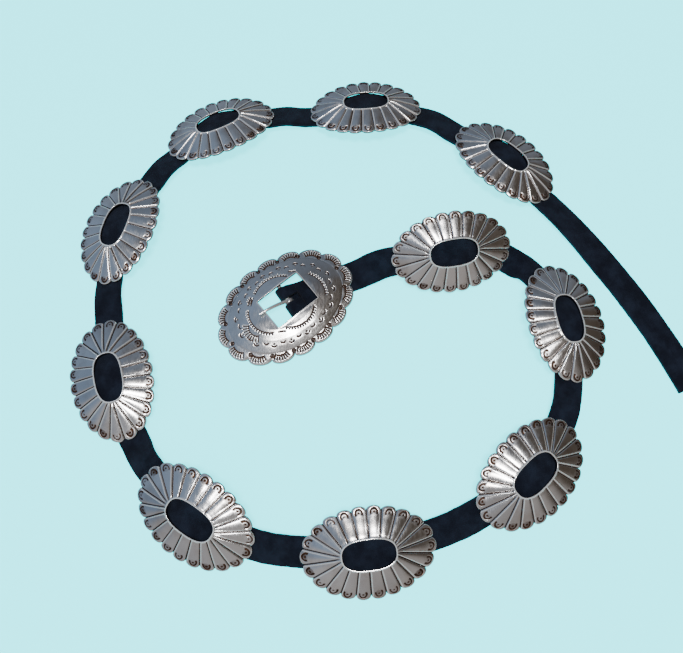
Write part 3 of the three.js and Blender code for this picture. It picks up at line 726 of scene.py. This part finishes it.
def inner_stamps(x, y, cut, soil, bright):
    """The work inside the lobes: arcs of beads about the window, open fans beyond the window's far end,
    a ring of crescents, some with a dot, and a few straight cuts."""
    for arc_points in BEADED_ARCS:
        beam, arc, ground = beaded_arc(x, y, *arc_points)
        press(bright, ground, 0.7)
        press(cut, beam)
        press(cut, arc, 0.85)
        press(soil, arc, 0.5)
    for fan_sizes in FANS:
        beam, arc, ground = fan(x, y, *fan_sizes)
        press(bright, ground, 0.7)
        press(cut, beam, 0.95)
        press(cut, arc, 0.9)
        press(soil, arc, 0.5)
    for lobe in range(LOBES):
        for part, size, strength, dotted in ((0.0, 0.715, 1.0, True), (0.5, 0.675, 0.8, False)):
            place, heading = oval_place((lobe + part + LOBE_SHIFT) / LOBES, size)
            way = np.array([math.cos(heading), math.sin(heading)])
            press(cut, crescent(x, y, place - way * 1.3, heading), strength)
            press(soil, ridge_line(polar(x, y, place)[0], 1.6), 0.35)
            if dotted:
                press(cut, ridge_line(polar(x, y, place - way * 1.2)[0], 0.4), 0.9)
    for start, end in STRAIGHT_CUTS:
        press(cut, bar_mark(x, y, start, end))


def buckle_stamps(x, y):
    """The stamped work over the plate in three layers, each 0 to 1: the depth of the cuts, the broad
    soil that sits in them, and the bright ground between strokes."""
    cut, soil, bright = (np.zeros_like(x) for _ in range(3))
    lobe_stamps(x, y, cut, soil, bright)
    inner_stamps(x, y, cut, soil, bright)
    return cut, soil, bright


def buckle_surface(columns=912):
    """The buckle's skin over a grid (out, turn): in plan from the window's outline to the lobed oval,
    and in height a nearly flat middle, a step down to the lobes and each lobe's own swell."""
    turn = np.arange(columns) / columns
    out = np.concatenate([[0, 0.008, 0.018, 0.03, 0.045], np.linspace(0.065, 0.985, 92), [1.0]])
    out, turn = np.meshgrid(out, turn, indexing="ij")
    phase = np.mod(turn * LOBES, 1)
    window_x, window_y = window_outline(turn)
    rim_x, rim_y = even_oval(BUCKLE_LENGTH, BUCKLE_WIDTH, turn + LOBE_SHIFT / LOBES)
    side = np.clip(np.abs(2 * phase - 1), 0, 1)
    notch = LOBE_NOTCH * (1 - (1 - side ** 2.1) ** 0.6)
    shrink = 1 - notch * out ** 3 / np.hypot(rim_x, rim_y)
    x = window_x + (rim_x * shrink - window_x) * out
    y = window_y + (rim_y * shrink - window_y) * out
    size = np.hypot(x / (BUCKLE_LENGTH / 2), y / (BUCKLE_WIDTH / 2))
    fall = np.interp(size, [0, 0.25, 0.45, 0.62, 0.72, 0.82, 0.9, 1.0],
                     [0, 0.02, 0.11, 0.31, 0.47, 0.66, 0.81, 1.0])
    from_window = out * np.hypot(rim_x - window_x, rim_y - window_y)
    z = BUCKLE_RISE * (1 - fall)

    # Each lobe swells and dips towards its neighbours, outside a fine line round the plate.
    lobe_swell = smooth((size - 0.84) / 0.1)
    z += 0.45 * lobe_swell * (1 - side ** 2.0) - 0.25 * ridge_line(side - 1, 0.16) * lobe_swell
    z -= 0.22 * ridge_line(size - 0.83, 0.012)
    cut, soil, bright = buckle_stamps(x, y)
    z -= CUT_DEPTH * cut

    # The window's raised edge, the rounded rim, and the unevenness of hand work.
    edge = ridge_line(from_window - 0.3, 0.35)
    z += 0.14 * edge
    z -= 0.3 * smooth((out - 0.97) / 0.03) ** 2
    z += 0.08 * waves(x, y, 3, 13.0) * smooth(from_window / 2) * (1 - lobe_swell)
    # The window's inner edge row takes the full stamp mask: a painted shadow line under the plate's edge,
    # next to the tarnish in the cuts.
    stamp = np.clip(cut ** 0.9 + 0.5 * soil + (out == 0), 0, 1)
    # The window's raised edge and the rim are pale: worn bright metal and painted highlight.
    rim_polish_and_highlight = smooth((out - 0.968) / 0.02)
    polish = np.clip(np.maximum(0.9 * edge + 0.5 * rim_polish_and_highlight, bright), 0, 1) * (1 - cut)
    return x, y, z + BUCKLE_PLATE, stamp, polish


def tube(points, radii, sides, attributes, flat=1.0):
    """A round bar carried along a path: each ring is the path's normals times the radius there. Both
    ends close over a small dome of three rings, the last of them a pole of no size."""
    points, radii = np.asarray(points, float), np.asarray(radii, float)
    along = np.gradient(points, axis=0)
    along /= np.linalg.norm(along, axis=1)[:, None]
    side = np.cross(np.broadcast_to((0, 0, 1), along.shape), along)
    side /= np.linalg.norm(side, axis=1)[:, None]
    rise = np.cross(along, side)
    dome = [(0.8 * c, math.sqrt(max(0, 1 - c * c))) for c in (1.0, 0.72, 0.0)]
    rings = [(points[0] - along[0] * radii[0] * c, radii[0] * r, 0) for c, r in dome]
    rings += [(p, r, i) for i, (p, r) in enumerate(zip(points, radii))]
    rings += [(points[-1] + along[-1] * radii[-1] * c, radii[-1] * r, -1) for c, r in dome[::-1]]
    angle = 2 * np.pi * np.arange(sides) / sides
    c, s = np.cos(angle)[:, None], np.sin(angle)[:, None]
    skin = np.concatenate([place + r * (c * side[i] + flat * s * rise[i]) for place, r, i in rings])
    quads = grid_faces(len(rings), sides, False, True)
    return skin, quads, {k: np.full(len(skin), v) for k, v in attributes.items()}


def bar_frame(points):
    """From the heel bar's own frame, +X towards the strap and +Y along the bar, to the scene's."""
    heading = math.radians(STRAP_HEADING + BUCKLE_TURN)
    return points @ turn_matrix(heading).T + ORIGIN


def make_buckle(material):
    """The buckle: the plate, the heel bar and its two posts, all tilted about the plate's middle so that
    the far edge is on the surface and the heel bar is over the folded strap."""
    plate = plate_part(buckle_surface(), BUCKLE_PLATE, 7)
    slope = math.radians(WINDOW_TURN)
    window_half = (WINDOW_WIDTH / 2 / math.cos(slope)
                   + (abs(BAR_SHIFT - WINDOW_SHIFT) + BAR_DIAMETER / 2) * math.tan(slope))
    post_place = window_half + CLEARANCE + POST_THICKNESS / 2
    bar_y = np.linspace(-post_place, post_place, 9) + WINDOW_OFFSET
    bar_line = np.stack([np.full_like(bar_y, BAR_SHIFT), bar_y, np.full_like(bar_y, BAR_HEIGHT)], 1)
    # The bar takes the full polish mask: worn bright metal and painted highlight.
    bar = tube(bar_line, np.full_like(bar_y, BAR_DIAMETER / 2), 24, {"stamp": 0.0, "polish": 1.0})
    post_top = BUCKLE_RISE + BUCKLE_PLATE * 0.4
    post_foot = BAR_HEIGHT - BAR_DIAMETER / 2
    post_size = (BAR_DIAMETER, POST_THICKNESS, post_top - post_foot)
    posts = [box_part((BAR_SHIFT, WINDOW_OFFSET + side * post_place, (post_top + post_foot) / 2),
                      post_size, {"stamp": 0.25, "polish": 0.0}) for side in (-1, 1)]
    points, quads, attributes = stack([plate, bar] + posts)
    c, s = math.cos(BUCKLE_TILT), math.sin(BUCKLE_TILT)
    tilt = np.array([[c, 0, -s], [0, 1, 0], [s, 0, c]])
    points = points @ tilt.T + [-(BAR_SHIFT * c - BAR_HEIGHT * s), -WINDOW_OFFSET, BUCKLE_LEVEL]
    piece = mesh_piece("silver_buckle", bar_frame(points), quads, attributes)
    piece.data.materials.append(material)
    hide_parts("buckle")
    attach(piece, "belt")


def make_tongue(material):
    """A tapering round arm on a curved line from the heel bar to the far edge of the window, and a
    rounded band bent round the bar: a ring whose section is a superellipse with exponent 2 / 0.7."""
    inner = BAR_DIAMETER / 2 + CLEARANCE
    outer = inner + TONGUE_WALL
    middle, wall, half = (inner + outer) / 2, (outer - inner) / 2, TONGUE_LOOP_WIDTH / 2
    steps, sides = 48, 16
    t, s = np.meshgrid(np.linspace(0, 2 * np.pi, steps + 1)[:-1],
                       np.linspace(0, 2 * np.pi, sides + 1)[:-1], indexing="ij")
    across, thick = (np.sign(v) * np.abs(v) ** 0.7 for v in (np.sin(s), np.cos(s)))
    radius = middle + wall * thick
    loop_points = np.stack([radius * np.cos(t), half * across, radius * np.sin(t)], -1).reshape(-1, 3)
    loop_marks = {"stamp": np.full(steps * sides, 0.1), "polish": np.full(steps * sides, 0.3)}
    loop = (loop_points, grid_faces(steps, sides, True, True)[:, ::-1], loop_marks)

    # The arm's height is a broken line over its reach, made smooth by a running mean.
    edge_reach = WINDOW_LENGTH / 2 - WINDOW_SHIFT
    edge_level = BUCKLE_LEVEL - edge_reach * math.sin(BUCKLE_TILT) + BUCKLE_PLATE + BUCKLE_RISE
    rest_level = edge_level + CLEARANCE + TONGUE_DIAMETER / 2 - BAR_LEVEL
    reach = np.linspace(0.08, 1.0, 60)
    rise = np.interp(reach, [0.02, 0.3, 0.62, 1.0], [0.33, 0.76, 1.0, 1.03])
    half_mean = 8
    weights = np.ones(2 * half_mean + 1) / (2 * half_mean + 1)
    rise = np.convolve(np.pad(rise, half_mean, mode="edge"), weights, mode="valid")
    radii = TONGUE_DIAMETER / 2 * np.interp(reach, [0, 0.3, 0.62, 0.9, 1.0], [1, 1, 0.92, 0.8, 0.6])
    path = np.stack([-reach * TONGUE_LENGTH, reach * TONGUE_LENGTH * math.tan(math.radians(TONGUE_TURN)),
                     rise * rest_level], 1)
    # The arm takes part of the polish mask: worn bright metal and painted highlight.
    arm = tube(path, radii, 20, {"stamp": 0.0, "polish": 0.45}, flat=0.85)
    points, quads, attributes = stack([loop, arm])
    points = bar_frame(points + [0, TONGUE_SHIFT, BAR_LEVEL])
    piece = mesh_piece("silver_tongue", points, quads, attributes)
    piece.data.materials.append(material)
    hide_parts("tongue")
    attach(piece, "tongue")


# Strap, in rows along it and points round its section
SECTION_POINTS = 36
ROW_STEP = 0.9
SLOT_MARGIN_ROWS = 10  # rows from the cut end to the slot, and from the heel bar to its other end
FREE_END_ROWS, FREE_END_REACH = 8, 1.1  # the last rows are closer together over this length


def strap_section():
    """The strap's section, a rectangle with round corners, as (across, up) from -1 to 1 with more
    points at the two edges: a superellipse with exponents 7 across and 3 up."""
    angle = 2 * np.pi * (np.arange(SECTION_POINTS) + 0.5) / SECTION_POINTS
    c, s = np.cos(angle), np.sin(angle)
    return np.sign(c) * np.abs(c) ** (1 / 7), np.sign(s) * np.abs(s) ** (1 / 3)


def strap_rows():
    """The strap's middle line with its direction, its sideways vector and its run, along the folded
    end, round the heel bar and along the route, and the first and the last row of the slot. The fold
    keeps the bar's direction, and eases square to the strap under the buckle."""
    start, skew = math.radians(STRAP_HEADING), math.radians(BUCKLE_TURN)
    ahead = np.array([math.cos(start), math.sin(start), 0])
    bar_way = turn_matrix(start + skew) @ np.array([0, 1.0, 0])
    tab_reach = np.concatenate([np.linspace(FOLDED_END, TAB_SLOT_END, SLOT_MARGIN_ROWS),
                                np.linspace(TAB_SLOT_END, 0, 18)[1:-1]])
    tab = ahead * tab_reach[:, None] + [0, 0, STRAP_THICKNESS / 2]
    turn = np.linspace(np.pi, 0, 22)
    fold = ahead * (-FOLD_RADIUS * np.sin(turn) / math.cos(skew))[:, None]
    fold[:, 2] = BAR_LEVEL + FOLD_RADIUS * np.cos(turn)
    run = np.concatenate([np.linspace(0.8, SLOT_END, SLOT_MARGIN_ROWS),
                          np.arange(SLOT_END + ROW_STEP, RUN[-1] - FREE_END_REACH - 0.1, ROW_STEP),
                          np.linspace(RUN[-1] - FREE_END_REACH, RUN[-1], FREE_END_ROWS)])
    line, line_along, line_normal = strap_line(run)
    middle = np.concatenate([tab, fold, line])
    pitch = np.concatenate([np.full(len(tab), np.pi), turn])
    fold_along = ahead * np.cos(pitch)[:, None] + np.array([0, 0, 1.0]) * np.sin(pitch)[:, None]
    fold_across = np.broadcast_to(bar_way, fold_along.shape) / math.cos(skew)
    angle = skew * (1 - np.clip(run / LEAD_LENGTH, 0, 1))
    across = np.cross(line_normal, line_along)
    across /= np.linalg.norm(across, axis=1)[:, None]
    forward = np.cross(across, line_normal)
    across = across - forward * np.tan(angle)[:, None]
    along = np.concatenate([fold_along, line_along])
    across = np.concatenate([fold_across, across])
    slot_rows = (SLOT_MARGIN_ROWS - 1, len(tab) + len(fold) + SLOT_MARGIN_ROWS - 1)
    return middle, along, across, np.concatenate([np.zeros(len(pitch)), run]), slot_rows


def strap_band(rows, low, high, nap):
    """One closed band of the strap between two edges, given across it in millimetres for each row: the
    section at each row, sized to the band, with a cap over each end."""
    middle, along, across, thick = rows
    up = np.cross(along, across)
    up /= np.linalg.norm(up, axis=1)[:, None]
    wide, high_share = strap_section()
    half, centre = (high - low) / 2, (high + low) / 2
    places = centre[:, None] + half[:, None] * wide[None, :] + nap * np.sign(wide)[None, :]
    points = (middle[:, None, :] + across[:, None, :] * places[:, :, None]
              + up[:, None, :] * (high_share[None, :] * thick[:, None])[:, :, None])
    count, columns = points.shape[:2]
    quads = [grid_faces(count, columns, False, True)]
    ring = np.arange(columns // 2 - 1)
    cap = np.stack([ring, ring + 1, columns - 2 - ring, columns - 1 - ring], 1)
    quads += [cap, (count - 1) * columns + cap[:, ::-1]]
    return points.reshape(-1, 3) + ORIGIN, np.concatenate(quads), {}


def make_strap(material):
    """The whole strap in closed bands: one on each side of the tongue's slot, and the full width
    before and after it."""
    middle, along, across, run, (slot_start, slot_end) = strap_rows()
    count = len(middle)
    first_end, last_end = [0.2, *np.linspace(0.86, 1, 3)], [*np.linspace(1, 0.84, 3), 0.2]
    body = np.ones(count - len(first_end) - len(last_end))
    thick = STRAP_THICKNESS / 2 * np.concatenate([first_end, body, last_end])
    place, level = np.arange(count) * ROW_STEP, np.zeros(count)
    uneven = 0.10 * waves(place, level, 11, 22.0) + 0.05 * waves(place, level, 12, 5.0)
    half = strap_half(run) + uneven
    for seat in SEATS:
        half = half + (HOLE_SPREAD - uneven) * in_hole(run, seat)
    # The slot runs square to the bar, where the tongue swings, and so askew to the strap.
    slot_middle = TONGUE_SHIFT + math.sin(math.radians(BUCKLE_TURN)) * np.minimum(run, SLOT_END)
    slot_low, slot_high = slot_middle - SLOT_WIDTH / 2, slot_middle + SLOT_WIDTH / 2
    noise = 0.05 * np.random.default_rng(5).normal(size=(count, SECTION_POINTS))

    def band(first, last, low, high):
        part = slice(first, last + 1)
        return strap_band((middle[part], along[part], across[part], thick[part]), low[part], high[part],
                          noise[part])

    bands = [band(0, slot_start, -half, half), band(slot_start, slot_end, -half, slot_low),
             band(slot_start, slot_end, slot_high, half), band(slot_end, count - 1, -half, half)]
    points, quads, _ = stack(bands)
    piece = mesh_piece("suede_strap", points, quads)
    piece.data.materials.append(material)
    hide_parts("strap")
    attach(piece, "belt")


# Scene
CAMERA_PITCH = 73.0  # degrees below level
CAMERA_HEIGHT = 340.3
CAMERA_FROM_BAR = (29.91, -117.73)
FOCAL_PIXELS, IMAGE_WIDTH, SENSOR = 620.0, 683.0, 36.0


def make_camera():
    """A camera over the belt, tipped up from straight down, with the photo's view of it."""
    camera = bpy.data.objects.new("camera", bpy.data.cameras.new("camera"))
    bpy.context.scene.collection.objects.link(camera)
    camera.data.sensor_width = SENSOR
    camera.data.lens = FOCAL_PIXELS / IMAGE_WIDTH * SENSOR
    camera.data.clip_start = 0.01
    camera.location = ((ORIGIN[0] + CAMERA_FROM_BAR[0]) * MM, (ORIGIN[1] + CAMERA_FROM_BAR[1]) * MM,
                       CAMERA_HEIGHT * MM)
    camera.rotation_euler = (math.radians(90 - CAMERA_PITCH), 0, 0)
    bpy.context.scene.camera = camera


def make_floor():
    """A plain pale floor: one wide square just under the belt."""
    half, drop = 6000.0, 0.06
    points = np.array([[-1, -1, 0], [1, -1, 0], [1, 1, 0], [-1, 1, 0]]) * half
    floor = mesh_piece("floor", points - [0, 0, drop], np.array([[0, 1, 2, 3]]))
    material, shader, _ = new_material("pale floor")
    set_sockets(shader, {"Base Color": (0.05, 0.86, 0.96, 1), "Roughness": 0.9,
                         "Emission Color": (0.03, 0.92, 1.0, 1), "Emission Strength": 2.8})
    floor.data.materials.append(material)
    floor.visible_glossy = False  # the silver mirrors the surround alone, and so keeps its own greys


def area_light(name, place, aim, size, power, colour):
    """A rectangular lamp at a place in metres, turned towards its aim."""
    light = bpy.data.lights.new(name, "AREA")
    light.shape = "RECTANGLE"
    light.size, light.size_y = size
    light.energy = power
    light.color = colour
    piece = bpy.data.objects.new(name, light)
    bpy.context.scene.collection.objects.link(piece)
    piece.location = place
    way = np.array(aim, float) - np.array(place, float)
    flat = math.hypot(way[0], way[1])
    piece.rotation_euler = (math.atan2(flat, -way[2]), 0, math.atan2(way[1], way[0]) - math.pi / 2)


def make_lights():
    """A dim surround that is warm on the right, cool on the left, lighter in front and bluish behind,
    and one soft lamp overhead."""
    world = bpy.data.worlds.new("surround")
    bpy.context.scene.world = world
    world.use_nodes = True
    add = node_tree(world.node_tree)
    way = add("ShaderNodeTexCoord").outputs["Generated"]
    sides = add("ShaderNodeSeparateXYZ", Vector=way)
    right, ahead = sides.outputs[0], sides.outputs[1]
    cool, warm = (0.45, 0.60, 0.84, 1), (0.17, 0.14, 0.115, 1)
    front, behind = (0.95, 0.90, 0.88, 1), (0.38, 0.44, 0.54, 1)
    colour = mix_colour(add, ramp(add, right, -0.5, 0.45), cool, warm)
    colour = mix_colour(add, ramp(add, ahead, -0.75, -0.15, 0.8, 0.0), colour, front)
    colour = mix_colour(add, ramp(add, ahead, 0.35, 0.85, 0.0, 0.7), colour, behind)
    set_sockets(world.node_tree.nodes["Background"], {"Color": colour, "Strength": 0.62})
    area_light("overhead", (0.0, -0.25, 1.5), (0, 0, 0), (0.44, 0.30), 20, (1.0, 0.99, 0.98))


silver_group = tarnish_group()
concho_silver = silver_material("stamped silver", 0.6, silver_group)
buckle_silver = silver_material("buckle silver", 0.4, silver_group)
tongue_silver = silver_material("tongue silver", 0.15, silver_group)

make_camera()
make_strap(suede_material())
for concho_number, concho_seat in enumerate(SEATS, 1):
    make_concho(concho_number, concho_seat, concho_silver)
make_buckle(buckle_silver)
make_tongue(tongue_silver)
make_floor()
make_lights()
